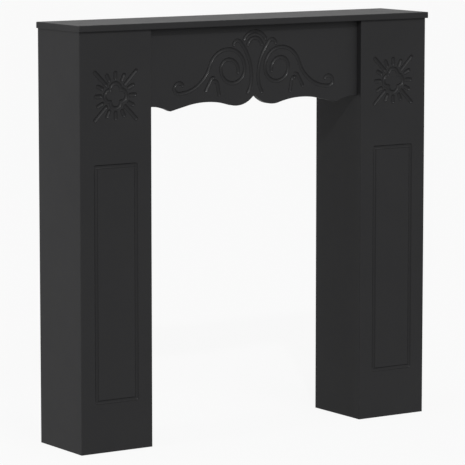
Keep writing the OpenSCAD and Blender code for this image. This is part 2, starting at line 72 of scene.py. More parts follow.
# Each plain board with the sides on which it meets another board
COLUMN_BOARDS = {"outer_side": ("-y", "+z"), "inner_side": ("-y", "+z"),
                 "base_board": ("-x", "+x", "-y"), "mid_board": ("-x", "+x", "-y")}
PLAIN_BOARDS = {"back_rail": ("-x", "+x", "+z"),
                **{f"{hand}_{board}": butted for hand in ("left", "right")
                   for board, butted in COLUMN_BOARDS.items()}}
DOWEL_NODES = [joint + "_dowels" for joint in (
    "left_front", "left_board", "right_front", "right_board", "shelf", "frieze", "rail")]
CAM_NODES = [(joint + "_cam_nuts", joint + "_cam_bolts") for joint in ("shelf", "frieze", "rail")]


# ---- Settings ----

def length(name, description, default):
    return FloatProperty(name=name, description=description, default=default, min=0.0,
                         unit="LENGTH", precision=4)


def angle(name, description, degrees):
    return FloatProperty(name=name, description=description, default=math.radians(degrees),
                         unit="ROTATION", subtype="ANGLE")


def share(name, description, default):
    return FloatProperty(name=name, description=description, default=default, min=0.0, max=1.0,
                         subtype="FACTOR")


def power(name, description, default):
    return FloatProperty(name=name, description=description, default=default, min=0.0)


def colour(name, description, default):
    return FloatVectorProperty(name=name, description=description, default=default, size=4,
                               min=0.0, max=1.0, subtype="COLOR")


class SurroundFinish(bpy.types.PropertyGroup):
    """Colours and surfaces"""
    paint: colour("Paint", "Colour of the satin black paint", (0.0155, 0.0155, 0.0161, 1.0))
    paint_thin: colour("Thin paint", "Colour where the paint lies a little thinner",
                       (0.0167, 0.0167, 0.0173, 1.0))
    paint_roughness: share("Paint roughness", "Roughness of the paint on a flat face", 0.485)
    cut_roughness: share("Cut roughness", "Roughness of the paint in a carved groove", 0.23)
    paint_gloss: share("Paint gloss", "Strength of the paint's reflection", 0.095)
    peel_height: length("Peel height", "Height of the fine ripple in the sprayed paint", 0.000012)
    peel_size: length("Peel size", "Spacing of the fine ripple in the sprayed paint", 0.0016)
    zinc: colour("Zinc", "Colour of the cam nuts and bolts", (0.56, 0.57, 0.58, 1.0))
    beech: colour("Beech", "Light wood of the dowels", (0.62, 0.42, 0.25, 1.0))
    beech_dark: colour("Beech grain", "Darker grain of the dowels", (0.45, 0.27, 0.14, 1.0))


class SurroundBoards(bpy.types.PropertyGroup):
    """Edges and holes of the boards"""
    shelf_edge: length("Shelf edge", "Radius of the shelf's front and end edges", 0.002)
    board_edge: length("Board edge", "Radius of the free edges of the plain boards", 0.0006)
    column_edge: length("Column edge", "Radius of the upright edges of a column front", 0.002)
    screw_spacing: length("Wall screw spacing", "Distance between the two wall screws", 0.4)
    screw_hole: length("Wall screw hole", "Diameter of a wall screw's hole", 0.005)
    countersink: length("Countersink", "Diameter of a wall screw's countersink", 0.010)


class SurroundBit(bpy.types.PropertyGroup):
    """The round-nosed bits that cut the carving"""
    wall: angle("Wall angle", "Steepness of a groove's wall where it meets the face", 67)
    shoulder: length("Shoulder", "Softening of a groove's upper edge by paint and sanding", 0.0005)
    step: length("Step", "Length of the steps along a groove", 0.0014)


class SurroundColumn(bpy.types.PropertyGroup):
    """Rosette and panel groove of a column front"""
    rosette_drop: length("Rosette drop", "Top of the column to the rosette's centre", 0.150)
    lobe_radius: length("Lobe radius", "Radius of each lobe of the quatrefoil", 0.014)
    lobe_offset: length("Lobe offset", "Rosette centre to the centre of a lobe", 0.015)
    lobe_width: length("Lobe groove", "Width of the quatrefoil's groove", 0.010)
    short_start: length("Short ray start", "Rosette centre to the inner end of a short ray", 0.040)
    short_end: length("Short ray end", "Rosette centre to the outer end of a short ray", 0.0525)
    long_start: length("Long ray start", "Rosette centre to the inner end of a long ray", 0.0365)
    long_end: length("Long ray end", "Rosette centre to the outer end of a long ray", 0.0785)
    ray_lean: angle("Ray lean", "Angle of the rays beside an upright or level ray", 26)
    ray_width: length("Ray groove", "Width of a ray's groove", 0.011)
    panel_inset: length("Panel inset", "Column edge to the centre line of the panel groove", 0.043)
    panel_foot: length("Panel foot", "Floor to the panel groove's bottom run", 0.120)
    panel_drop: length("Panel drop", "Top of the column to the panel groove's top run", 0.313)
    panel_width: length("Panel groove", "Width of the panel groove", 0.010)


class SurroundFrieze(bpy.types.PropertyGroup):
    """Outline and carving of the frieze. Drops start at the shelf, runs at the middle."""
    edge: length("Edge", "Rounding of the frieze's front edges", 0.0006)
    tip_drop: length("Tip drop", "Shelf to the point in the middle of the lower edge", 0.1645)
    low_drop: length("Low drop", "Shelf to the rounded low beside the tip", 0.191)
    low_run: length("Low run", "Middle to that low", 0.052)
    crest_drop: length("Crest drop", "Shelf to the crest of the long arch", 0.1785)
    crest_run: length("Crest run", "Middle to that crest", 0.138)
    cusp_drop: length("Cusp drop", "Shelf to the downward point beside the end lobe", 0.1955)
    cusp_run: length("Cusp run", "Middle to that point", 0.238)
    end_drop: length("End drop", "Shelf to the crest of the end lobe", 0.1825)
    end_run: length("End run", "Middle to the crest of the end lobe", 0.294)
    scroll_width: length("Scroll groove", "Width of the scroll's groove", 0.010)
    volute_drop: length("Volute drop", "Shelf to the volute's centre", 0.103)
    volute_run: length("Volute run", "Middle to the volute's centre", 0.076)
    volute_radius: length("Volute radius", "Radius of the volute's outer quarter turn", 0.047)
    coil_radius: length("Coil radius", "Radius of the volute's lower half turn", 0.034)
    eye_radius: length("Eye radius", "Radius of the quarter turn that enters the eye", 0.0225)
    lid_radius: length("Lid radius", "Radius of the last stretch, over the eye and down", 0.027)
    lid_turn: angle("Lid turn", "Turn of the last stretch", 100)
    tail_run: length("Tail run", "Middle to the lowest point of the tail", 0.215)
    tail_drop: length("Tail drop", "Shelf to the lowest point of the tail", 0.1555)
    tail_radius: length("Tail radius", "Radius of the tail's long sweep", 0.092)
    hook_radius: length("Hook radius", "Radius of the hook that ends the tail", 0.0125)
    hook_turn: angle("Hook turn", "Turn of the hook past its lowest point", 238)
    stem_width: length("Stem groove", "Width of the bud, stem, leaf and fan grooves", 0.010)
    bud_run: length("Bud run", "Middle to the bud's centre", 0.0495)
    bud_drop: length("Bud drop", "Shelf to the bud's centre", 0.0475)
    bud_radius: length("Bud radius", "Radius of the bud", 0.011)
    bud_turn: angle("Bud turn", "Where the bud starts, measured from level", 10)
    stem_run: length("Stem run", "Middle to the stem's waist", 0.0095)
    stem_drop: length("Stem drop", "Shelf to the stem's waist", 0.124)
    flare_radius: length("Flare radius", "Radius of the stem's flare below its waist", 0.068)
    flare_turn: angle("Flare turn", "Turn of the stem's flare", 33)
    fan_drop: length("Fan drop", "Shelf to the centre of the fan's two arcs", 0.052)
    fan_radius: length("Fan radius", "Radius of the fan's outer arc", 0.0355)
    fan_turn: angle("Fan turn", "Where the fan's outer arc starts, measured from level", 30)
    core_radius: length("Fan core radius", "Radius of the fan's inner arc", 0.0205)
    core_turn: angle("Fan core turn", "Where the fan's inner arc starts, measured from level", 12)


class SurroundFittings(bpy.types.PropertyGroup):
    """Cam fittings and dowels"""
    cam_reach: length("Cam reach", "Board edge to the centre of a cam nut", 0.034)
    cam_play: length("Cam play", "Room between a fitting and its hole", 0.0001)
    thread_pitch: length("Thread pitch", "Pitch of the bolt's thread", 0.0011)
    flutes: IntProperty(name="Flutes", description="Number of flutes round a dowel", default=18,
                        min=6, max=36)


class SurroundStage(bpy.types.PropertyGroup):
    """Floor, light and camera"""
    floor: colour("Floor", "Colour of the floor", (0.45, 0.45, 0.45, 1.0))
    shadow: share("Shadow", "How much of the lamps' shadow the floor shows", 0.12)
    world: power("Surroundings", "Strength of the light from all round", 0.40)
    key: power("Key lamp", "Strength of the lamp high on the left", 1.41)
    front: power("Front lamp", "Strength of the broad lamp in front", 1.55)
    side: power("Side lamp", "Power of the soft lamp on the left", 44.0)
    lens: FloatProperty(name="Lens", description="Focal length of the camera in millimetres",
                        default=235.17, min=1.0, subtype="DISTANCE_CAMERA")


# ---- Node trees ----

# Span of a noise that holds nearly all of its values
NOISE_LOW, NOISE_HIGH = 0.35, 0.65


class Tree:
    """Adds nodes to a node tree and links them"""

    def __init__(self, tree):
        self.tree = tree

    def add(self, kind, inputs=(), **settings):
        """New node. inputs pairs a socket's name or number with a value or an output to link."""
        node = self.tree.nodes.new(kind)
        for name, value in settings.items():
            setattr(node, name, value)
        for key, value in dict(inputs).items():
            if isinstance(value, bpy.types.NodeSocket):
                self.tree.links.new(value, node.inputs[key])
            else:
                node.inputs[key].default_value = value
        return node

    def math(self, operation, *values):
        return self.add("ShaderNodeMath", enumerate(values), operation=operation).outputs[0]

    def vector(self, x=0.0, y=0.0, z=0.0):
        return self.add("ShaderNodeCombineXYZ", {0: x, 1: y, 2: z}).outputs[0]

    def named(self, name, kind):
        """A point attribute, read in a Geometry Nodes tree"""
        return self.add("GeometryNodeInputNamedAttribute", {"Name": name},
                        data_type=kind).outputs[0]

    def noise(self, where, size, detail, roughness=0.5):
        """Grey noise with features of a size in metres"""
        return self.add("ShaderNodeTexNoise", {
            "Vector": where, "Scale": 1.0 / size, "Detail": detail,
            "Roughness": roughness}).outputs[0]

    def between(self, noise, low, high):
        """Maps the middle of a noise to the span from low to high"""
        return self.add("ShaderNodeMapRange", {
            "Value": noise, "From Min": NOISE_LOW, "From Max": NOISE_HIGH, "To Min": low,
            "To Max": high}).outputs[0]

    def tint(self, factor, first, second):
        mix = self.add("ShaderNodeMix", {"Factor": factor}, data_type="RGBA")
        mix.inputs[6].default_value, mix.inputs[7].default_value = first, second
        return mix.outputs[2]

    def bump(self, height, distance, strength, **more):
        """Normal of a surface with a height; more may hold the Normal of a bump under it"""
        return self.add("ShaderNodeBump", {"Height": height, "Distance": distance,
                                           "Strength": strength, **more}).outputs[0]

    def surface(self, shader):
        self.add("ShaderNodeOutputMaterial", {"Surface": shader.outputs[0]})


def geometry_tree(name, sockets):
    """New Geometry Nodes tree with named inputs, and the node that holds them"""
    tree = bpy.data.node_groups.new(name, "GeometryNodeTree")
    tree.interface.new_socket("Geometry", in_out="INPUT", socket_type="NodeSocketGeometry")
    for label, kind in sockets:
        tree.interface.new_socket(label, in_out="INPUT", socket_type="NodeSocket" + kind)
    tree.interface.new_socket("Material", in_out="INPUT", socket_type="NodeSocketMaterial")
    tree.interface.new_socket("Geometry", in_out="OUTPUT", socket_type="NodeSocketGeometry")
    made = Tree(tree)
    return made, made.add("NodeGroupInput").outputs


def finish_tree(made, given, geometry):
    """Ends a tree in Realize Instances and Set Material"""
    real = made.add("GeometryNodeRealizeInstances", {"Geometry": geometry})
    coated = made.add("GeometryNodeSetMaterial", {"Geometry": real.outputs[0],
                                                  "Material": given["Material"]})
    made.add("NodeGroupOutput", {"Geometry": coated.outputs[0]})
    return made.tree


def run_tree(obj, tree, values):
    """Adds the tree to an object as a modifier with its inputs set"""
    modifier = obj.modifiers.new(tree.name, "NODES")
    modifier.node_group = tree
    for item in tree.interface.items_tree:
        if item.in_out == "INPUT" and item.name in values:
            modifier[item.identifier] = values[item.name]


# Depth from which the paint of a groove has its own roughness all over
FULL_CUT = 1 * MM


def groove_tree():
    """Sinks a face by the depth that a round-nosed bit leaves along the edges of a paths object"""
    made, given = geometry_tree("Coved grooves", [
        ("Paths", "Object"), ("Width", "Float"), ("Wall Angle", "Float"), ("Shoulder", "Float"),
        ("Face", "Float")])
    place = made.add("ShaderNodeSeparateXYZ",
                     {0: made.add("GeometryNodeInputPosition").outputs[0]}).outputs
    on_face = made.vector(place[0], given["Face"], place[2])
    paths = made.add("GeometryNodeObjectInfo", {"Object": given["Paths"]})
    near = made.add("GeometryNodeProximity", {0: paths.outputs["Geometry"],
                                              "Sample Position": on_face},
                    target_element="EDGES")
    half = made.math("DIVIDE", given["Width"], 2.0)
    radius = made.math("DIVIDE", half, made.math("SINE", given["Wall Angle"]))
    lift = made.math("DIVIDE", half, made.math("TANGENT", given["Wall Angle"]))
    under = made.math("SUBTRACT", made.math("POWER", radius, 2.0),
                      made.math("POWER", near.outputs["Distance"], 2.0))
    nose = made.math("SQRT", made.math("MAXIMUM", under, 0.0))
    depth = made.math("SMOOTH_MAX", made.math("SUBTRACT", nose, lift), 0.0, given["Shoulder"])
    sunk = made.math("MAXIMUM", depth, made.math("SUBTRACT", place[1], given["Face"]))
    sunk_place = made.vector(place[0], made.math("ADD", sunk, given["Face"]), place[2])
    cut = made.add("GeometryNodeSetPosition", {"Geometry": given["Geometry"],
                                               "Position": sunk_place})
    amount = made.math("MAXIMUM", made.named("cut", "FLOAT"),
                       made.math("MINIMUM", made.math("DIVIDE", depth, FULL_CUT), 1.0))
    kept = made.add("GeometryNodeStoreNamedAttribute",
                    {"Geometry": cut.outputs[0], "Name": "cut", "Value": amount},
                    data_type="FLOAT", domain="POINT")
    return finish_tree(made, given, kept.outputs[0])


def sunburst_tree():
    """Draws the rays of a sunburst as edges in the XZ plane, round the origin"""
    made, given = geometry_tree("Sunburst rays", [
        ("Short Start", "Float"), ("Short End", "Float"), ("Long Start", "Float"),
        ("Long End", "Float"), ("Lean", "Float"), ("Quarters", "Int")])
    quarter = made.add("GeometryNodeJoinGeometry")
    for kind, turn in (("Short", made.math("MULTIPLY", given["Lean"], -1.0)), ("Short", 0.0),
                       ("Short", given["Lean"]), ("Long", math.pi / 4)):
        line = made.add("GeometryNodeCurvePrimitiveLine", {
            "Start": made.vector(given[kind + " Start"]),
            "End": made.vector(given[kind + " End"])})
        ray = made.add("GeometryNodeTransform", {"Geometry": line.outputs[0],
                                                 "Rotation": made.vector(y=turn)})
        made.tree.links.new(ray.outputs[0], quarter.inputs[0])
    edges = made.add("GeometryNodeCurveToMesh", {"Curve": quarter.outputs[0]})
    hubs = made.add("GeometryNodeMeshLine", {"Count": given["Quarters"], "Offset": (0, 0, 0)})
    index = made.add("GeometryNodeInputIndex").outputs[0]
    spread = made.add("GeometryNodeInstanceOnPoints", {
        "Points": hubs.outputs[0], "Instance": edges.outputs[0],
        "Rotation": made.vector(y=made.math("MULTIPLY", index, math.pi / 2))})
    return finish_tree(made, given, spread.outputs[0])


def fitting_tree():
    """Sets one fitting at every point, turned by the point's "turn" attribute"""
    made, given = geometry_tree("Fittings in their places", [("Fitting", "Object")])
    fitting = made.add("GeometryNodeObjectInfo", {"Object": given["Fitting"]})
    spread = made.add("GeometryNodeInstanceOnPoints", {
        "Points": given["Geometry"], "Instance": fitting.outputs["Geometry"],
        "Rotation": made.named("turn", "FLOAT_VECTOR")})
    return finish_tree(made, given, spread.outputs[0])


# ---- Materials ----

def new_material(name):
    material = bpy.data.materials.new(name)
    material.use_nodes = True
    material.node_tree.nodes.clear()
    return material, Tree(material.node_tree)


# Paint: its clouds, its duller patches, and the grit in a groove as a share of the ripple
CLOUD_SIZE, PATCH_SIZE, PATCH_ROUGHNESS = 160 * MM, 30 * MM, 0.015
GRIT_SHARE, GRIT_STRENGTH = 0.2, 0.8
# Zinc: its bloom, how dark that gets, and its grain
BLOOM_SIZE, BLOOM_TONE = 4 * MM, 0.6
ZINC_GRAIN, ZINC_GRAIN_HEIGHT = 0.4 * MM, 0.01 * MM
# Beech: its rings and flecks, drawn out along the dowel, and its pores
RING_SIZE, FLECK_SIZE, GRAIN_STRETCH = 1.4 * MM, 0.4 * MM, 0.08
PORE_DEPTH = 0.03 * MM


def black_paint(finish):
    """Sprayed satin paint: a faint cloudiness, a fine ripple, and glossier where it is carved"""
    material, made = new_material("satin_black_paint")
    where = made.add("ShaderNodeTexCoord").outputs["Object"]
    cloud = made.between(made.noise(where, CLOUD_SIZE, 3.0), 0.0, 1.0)
    cut = made.add("ShaderNodeAttribute", attribute_name="cut").outputs["Fac"]
    plain = made.between(made.noise(where, PATCH_SIZE, 4.0),
                         finish.paint_roughness - PATCH_ROUGHNESS,
                         finish.paint_roughness + PATCH_ROUGHNESS)
    smoother = made.math("MULTIPLY", cut, finish.cut_roughness - finish.paint_roughness)
    peel = made.bump(made.noise(where, finish.peel_size, 2.0), finish.peel_height, 1.0)
    grit = made.bump(made.noise(where, finish.peel_size * GRIT_SHARE, 3.0, 0.7),
                     finish.peel_height, made.math("MULTIPLY", cut, GRIT_STRENGTH), Normal=peel)
    made.surface(made.add("ShaderNodeBsdfPrincipled", {
        "Base Color": made.tint(cloud, finish.paint, finish.paint_thin),
        "Roughness": made.math("ADD", plain, smoother), "Normal": grit,
        "Specular IOR Level": finish.paint_gloss}))
    return material


def zinc_plate(finish):
    """Bright zinc with a fine grain and uneven dullness"""
    material, made = new_material("zinc_plate")
    where = made.add("ShaderNodeTexCoord").outputs["Object"]
    bloom = made.noise(where, BLOOM_SIZE, 4.0, 0.6)
    darker = tuple(BLOOM_TONE * c for c in finish.zinc[:3]) + (1.0,)
    made.surface(made.add("ShaderNodeBsdfPrincipled", {
        "Base Color": made.tint(made.between(bloom, 0.0, 0.25), finish.zinc, darker),
        "Metallic": 1.0, "Roughness": made.between(bloom, 0.28, 0.46),
        "Normal": made.bump(made.noise(where, ZINC_GRAIN, 3.0), ZINC_GRAIN_HEIGHT, 0.6)}))
    return material


def beech_wood(finish):
    """Pale wood with grain and flecks along the dowel, read from its own "grain" places"""
    material, made = new_material("beech_wood")
    where = made.add("ShaderNodeAttribute", attribute_name="grain").outputs["Vector"]
    drawn = made.add("ShaderNodeMapping", {"Vector": where,
                                           "Scale": (1.0, 1.0, GRAIN_STRETCH)}).outputs[0]
    rings = made.between(made.noise(drawn, RING_SIZE, 5.0, 0.6), 0.0, 1.0)
    flecks = made.noise(drawn, FLECK_SIZE, 2.0)
    made.surface(made.add("ShaderNodeBsdfPrincipled", {
        "Base Color": made.tint(rings, finish.beech, finish.beech_dark),
        "Roughness": made.between(flecks, 0.55, 0.75),
        "Normal": made.bump(flecks, PORE_DEPTH, 0.7)}))
    return material


MATERIALS = {"black_paint": black_paint, "zinc": zinc_plate, "beech": beech_wood}


def material_of(slot):
    """The material of one of the record's slots, made the first time it is asked for"""
    key = "surround_" + slot
    if key not in bpy.context.scene:
        bpy.context.scene[key] = MATERIALS[slot](bpy.context.scene.surround_finish).name
    return bpy.data.materials[bpy.context.scene[key]]


# ---- Meshes ----

def new_object(name, mesh):
    obj = bpy.data.objects.new(name, mesh)
    bpy.context.scene.collection.objects.link(obj)
    return obj


def object_from(name, points, faces, edges=()):
    mesh = bpy.data.meshes.new(name)
    mesh.from_pydata([tuple(p) for p in points], edges, faces)
    return new_object(name, mesh)


def object_from_bmesh(name, bm):
    mesh = bpy.data.meshes.new(name)
    bm.to_mesh(mesh)
    bm.free()
    return new_object(name, mesh)


def settle(obj):
    """Turns an object with its modifiers into a plain mesh"""
    bpy.context.view_layer.update()
    seen = obj.evaluated_get(bpy.context.evaluated_depsgraph_get())
    mesh = bpy.data.meshes.new_from_object(seen)
    old, obj.data = obj.data, mesh
    obj.modifiers.clear()
    if isinstance(old, bpy.types.Mesh):
        bpy.data.meshes.remove(old)
    return obj


def remove(*objects):
    for obj in objects:
        bpy.data.objects.remove(obj)


SHARP_ANGLE = math.radians(38)


def hand_over(obj, slot, *nodes):
    """Shades a finished piece, gives it its finish and sets it in the frame for its CAD nodes"""
    mesh = obj.data
    mesh.materials.clear()
    mesh.materials.append(material_of(slot))
    mesh.polygons.foreach_set("material_index", [0] * len(mesh.polygons))
    mesh.polygons.foreach_set("use_smooth", [True] * len(mesh.polygons))
    mesh.set_sharp_from_angle(angle=SHARP_ANGLE)
    weighted = obj.modifiers.new("Flat faces stay flat", "WEIGHTED_NORMAL")
    weighted.keep_sharp = True
    settle(obj)
    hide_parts(*nodes)
    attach(obj, BODY)


# ---- Where the fittings are ----

def islands(node):
    """Lowest and highest corner of each separate solid of a CAD node"""
    bm = bmesh.new()
    bm.from_mesh(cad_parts[node].data)
    bmesh.ops.remove_doubles(bm, verts=bm.verts, dist=0.001 * MM)
    boxes, waiting = [], set(bm.verts)
    while waiting:
        reached = [waiting.pop()]
        for vert in reached:
            for edge in vert.link_edges:
                other = edge.other_vert(vert)
                if other in waiting:
                    waiting.remove(other)
                    reached.append(other)
        corners = np.array([v.co for v in reached])
        boxes.append((corners.min(0), corners.max(0)))
    bm.free()
    return sorted(boxes, key=lambda box: tuple(box[0]))


def axis_vector(index, sign=1.0):
    return Vector([sign if i == index else 0.0 for i in range(3)])


def turned_to(into, out):
    """Rotation that takes Z to into and X to out"""
    return Matrix([out, into.cross(out), into]).transposed()


def dowel_places(node):
    places = []
    for low, high in islands(node):
        along = int(np.argmax(high - low))
        into = axis_vector(along)
        places.append((Vector((low + high) / 2), turned_to(into, axis_vector((along + 1) % 3)),
                       float((high - low)[along]), float((high - low)[along - 1]) / 2))
    return places


def cam_places(nuts, bolts):
    """Point on the bolt's axis at the middle of each cam nut, with Z from the bolt's thread to
    its head and X out of the nut's open face"""
    shafts = [(low + high) / 2 for low, high in islands(bolts)]
    places = []
    for low, high in islands(nuts):
        middle = (low + high) / 2
        across = int(np.argmin(high - low))
        shaft = min(shafts, key=lambda s: np.linalg.norm(s - middle))
        out = axis_vector(across, math.copysign(1.0, middle[across] - shaft[across]))
        to_nut = middle - shaft
        to_nut[across] = 0.0
        along = int(np.argmax(abs(to_nut)))
        into = axis_vector(along, math.copysign(1.0, to_nut[along]))
        centre = Vector(middle)
        centre[across] = shaft[across]
        places.append((centre, turned_to(into, out)))
    return places


# Sizes that the boards and the fittings share. Round ones are radii.
HALF_BOARD = 7.5 * MM
CAM_RADIUS, CAM_HEIGHT = 7.5 * MM, 12 * MM
SHAFT_BORE, THREAD_BORE, THREAD_LENGTH = 4 * MM, 2.5 * MM, 11 * MM
# Room past the end of a blind bore and round a dowel, and how far a cutter runs past a face
BLIND_ROOM, DOWEL_PLAY, PAST = 0.5 * MM, 0.1 * MM, 1 * MM
# Share of half a dowel at which its end is looked for in a board
NEAR_END = 0.9


def bore(board, node):
    """Bores a board for its dowels, bolts and cam nuts"""
    low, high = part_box(node)
    reach = bpy.context.scene.surround_fittings.cam_reach

    def inside(p):
        return all(low[i] < p[i] < high[i] for i in range(3))

    bores, cam_holes = [], []
    for dowels in DOWEL_NODES:
        for centre, turn, long, radius in dowel_places(dowels):
            half = turn.col[2] * (long / 2)
            if inside(centre + half * NEAR_END) or inside(centre - half * NEAR_END):
                room = turn.col[2] * BLIND_ROOM
                bores.append((centre - half - room, centre + half + room, radius + DOWEL_PLAY))
    for nuts, bolts in CAM_NODES:
        for centre, turn in cam_places(nuts, bolts):
            out, into = turn.col[0], turn.col[2]
            if inside(centre):
                cam_holes.append((centre + out * (HALF_BOARD + PAST),
                                  centre + out * (HALF_BOARD - CAM_HEIGHT - BLIND_ROOM),
                                  CAM_RADIUS))
                bores.append((centre - into * (reach + PAST), centre, SHAFT_BORE))
            if inside(centre - into * (reach + THREAD_LENGTH / 2)):
                bores.append((centre - into * (reach - PAST),
                              centre - into * (reach + THREAD_LENGTH + BLIND_ROOM), THREAD_BORE))
    subtract(board, bores, cam_holes)


ROD_SIDES = 48


def rod(bm, start, end, radius, end_radius=None):
    """Adds a closed cylinder or cone to a bmesh"""
    along = end - start
    turn = along.to_track_quat("Z", "Y").to_matrix().to_4x4()
    bmesh.ops.create_cone(
        bm, cap_ends=True, segments=ROD_SIDES, radius1=radius,
        radius2=radius if end_radius is None else end_radius, depth=along.length,
        matrix=Matrix.Translation((start + end) / 2) @ turn)


def cut_out(obj, tools):
    """Cuts closed objects out of an object, one after the other, and removes them"""
    for tool in tools:
        modifier = obj.modifiers.new(tool.name, "BOOLEAN")
        modifier.operation, modifier.solver, modifier.object = "DIFFERENCE", "EXACT", tool
    settle(obj)
    remove(*tools)


def subtract(obj, *groups):
    """Cuts groups of rods out of an object, one group after the other"""
    tools = []
    for rods in filter(None, groups):
        bm = bmesh.new()
        for one in rods:
            rod(bm, *one)
        tools.append(object_from_bmesh(obj.name + "_cutter", bm))
    if tools:
        cut_out(obj, tools)


def side_of(face):
    """Name of the side that a box's face looks to, such as -y"""
    along = max(range(3), key=lambda i: abs(face.normal[i]))
    return ("+" if face.normal[along] > 0 else "-") + AXES[along]


def eased_box(name, low, high, radius, butted=(), segments=3):
    """Box whose edges are rounded, apart from those of the sides that meet another board"""
    bm = bmesh.new()
    size = high - low
    bmesh.ops.create_cube(bm, size=1.0, matrix=Matrix.Translation((low + high) / 2)
                          @ Matrix.Diagonal((*size, 1.0)))
    bm.normal_update()
    free = [e for e in bm.edges if not any(side_of(f) in butted for f in e.link_faces)]
    bmesh.ops.bevel(bm, geom=free, offset=radius, segments=segments, profile=0.5, affect="EDGES",
                    clamp_overlap=True)
    return object_from_bmesh(name, bm)


# ---- Paths of the carving, as (x, z) points in metres ----

def on_circle(centre, radius, turn):
    return (centre[0] + radius * math.cos(turn), centre[1] + radius * math.sin(turn))


# Fewest points on a radian of an arc
ARC_POINTS = 9.0


def arc(centre, radius, start, end, step):
    """Points along an arc, with angles in radians"""
    count = max(2, math.ceil(abs(end - start) * max(radius / step, ARC_POINTS)))
    return [on_circle(centre, radius, start + (end - start) * i / count) for i in range(count + 1)]


def chain(*parts):
    """One path from parts that each start where the last one ends"""
    path = list(parts[0])
    for part in parts[1:]:
        path += list(part)[1:]
    return path


def turned_path(path, turn):
    return [(x * math.cos(turn) - z * math.sin(turn), x * math.sin(turn) + z * math.cos(turn))
            for x, z in path]


def mirrored(path):
    return [(-x, z) for x, z in path]


def moved(path, x, z):
    return [(px + x, pz + z) for px, pz in path]


def scroll_path(f, step):
    """Hook, tail, shoulder and volute of the right-hand scroll, on arcs that share tangents"""
    quarter, half_turn = math.pi / 2, math.pi
    coil_x = f.volute_run - f.volute_radius + f.coil_radius
    eye_x = coil_x + f.coil_radius - f.eye_radius
    top = f.volute_radius - f.volute_drop
    tail_centre = f.tail_radius - f.tail_drop
    run, rise = f.tail_run - f.volute_run, top - tail_centre
    shoulder = (run ** 2 + rise ** 2 - f.tail_radius ** 2) / (2 * (f.tail_radius + rise))
    tail_turn = math.asin(run / (shoulder + f.tail_radius))
    return chain(
        arc((f.tail_run, f.hook_radius - f.tail_drop), f.hook_radius,
            f.hook_turn - quarter, -quarter, step),
        arc((f.tail_run, tail_centre), f.tail_radius, -quarter, -quarter - tail_turn, step),
        arc((f.volute_run, top - shoulder), shoulder, quarter - tail_turn, quarter, step),
        arc((f.volute_run, -f.volute_drop), f.volute_radius, quarter, half_turn, step),
        arc((coil_x, -f.volute_drop), f.coil_radius, half_turn, 2 * half_turn, step),
        arc((eye_x, -f.volute_drop), f.eye_radius, 0.0, quarter, step),
        arc((eye_x, f.eye_radius - f.volute_drop - f.lid_radius), f.lid_radius, quarter,
            quarter + f.lid_turn, step))


def stem_path(f, step):
    """Bud that curls over, on a stem that falls to its waist and flares again"""
    rise = f.stem_drop - f.bud_drop
    centre = (f.bud_run ** 2 + rise ** 2 - (f.stem_run + f.bud_radius) ** 2) / (
        2 * (f.bud_run - f.stem_run - f.bud_radius))
    turn = math.atan2(rise, f.bud_run - centre)
    return chain(
        arc((f.bud_run, -f.bud_drop), f.bud_radius, f.bud_turn, turn, step),
        arc((centre, -f.stem_drop), centre - f.stem_run, turn, math.pi, step),
        arc((f.stem_run + f.flare_radius, -f.stem_drop), f.flare_radius, math.pi,
            math.pi + f.flare_turn, step))


# Leaf strokes under a scroll: centre, radius and two angles of the turn at the top, and the
# length of the straight that follows
LEAVES = (((0.118, -0.1295), 0.0075, 90, 30, 0.030), ((0.114, -0.138), 0.0075, 80, 170, 0.026))


def leaf_path(centre, radius, start, end, long, step):
    curl = arc(centre, radius, math.radians(start), math.radians(end), step)
    heading = math.radians(end) + math.copysign(math.pi / 2, end - start)
    last = curl[-1]
    count = math.ceil(long / step)
    return curl + [on_circle(last, long * i / count, heading) for i in range(1, count + 1)]


def frieze_paths(f, step):
    """Paths of the scroll grooves and of the stem grooves, each as (points, closed)"""
    scrolls, stems = [scroll_path(f, step)], [stem_path(f, step)]
    stems += [leaf_path(*leaf, step) for leaf in LEAVES]
    stems += [mirrored(path) for path in stems]
    scrolls += [mirrored(path) for path in scrolls]
    for radius, turn in ((f.fan_radius, f.fan_turn), (f.core_radius, f.core_turn)):
        stems.append(arc((0.0, -f.fan_drop), radius, turn, math.pi - turn, step))
    top = FRIEZE_HIGH.z
    return ([(moved(path, 0.0, top), False) for path in scrolls],
            [(moved(path, 0.0, top), False) for path in stems])


def quatrefoil_path(c, step):
    notch = (c.lobe_offset + math.sqrt(2 * c.lobe_radius ** 2 - c.lobe_offset ** 2)) / 2
    reach = math.atan2(notch, notch - c.lobe_offset)
    lobe = arc((c.lobe_offset, 0.0), c.lobe_radius, -reach, reach, step)
    path = []
    for quarter in range(4):
        path += turned_path(lobe, quarter * math.pi / 2)[:-1]
    return path


def panel_path(c):
    half = COLUMN_W / 2 - c.panel_inset
    low, high = c.panel_foot, FRONT_HIGH.z - c.panel_drop
    return [(-half, low), (half, low), (half, high), (-half, high)]


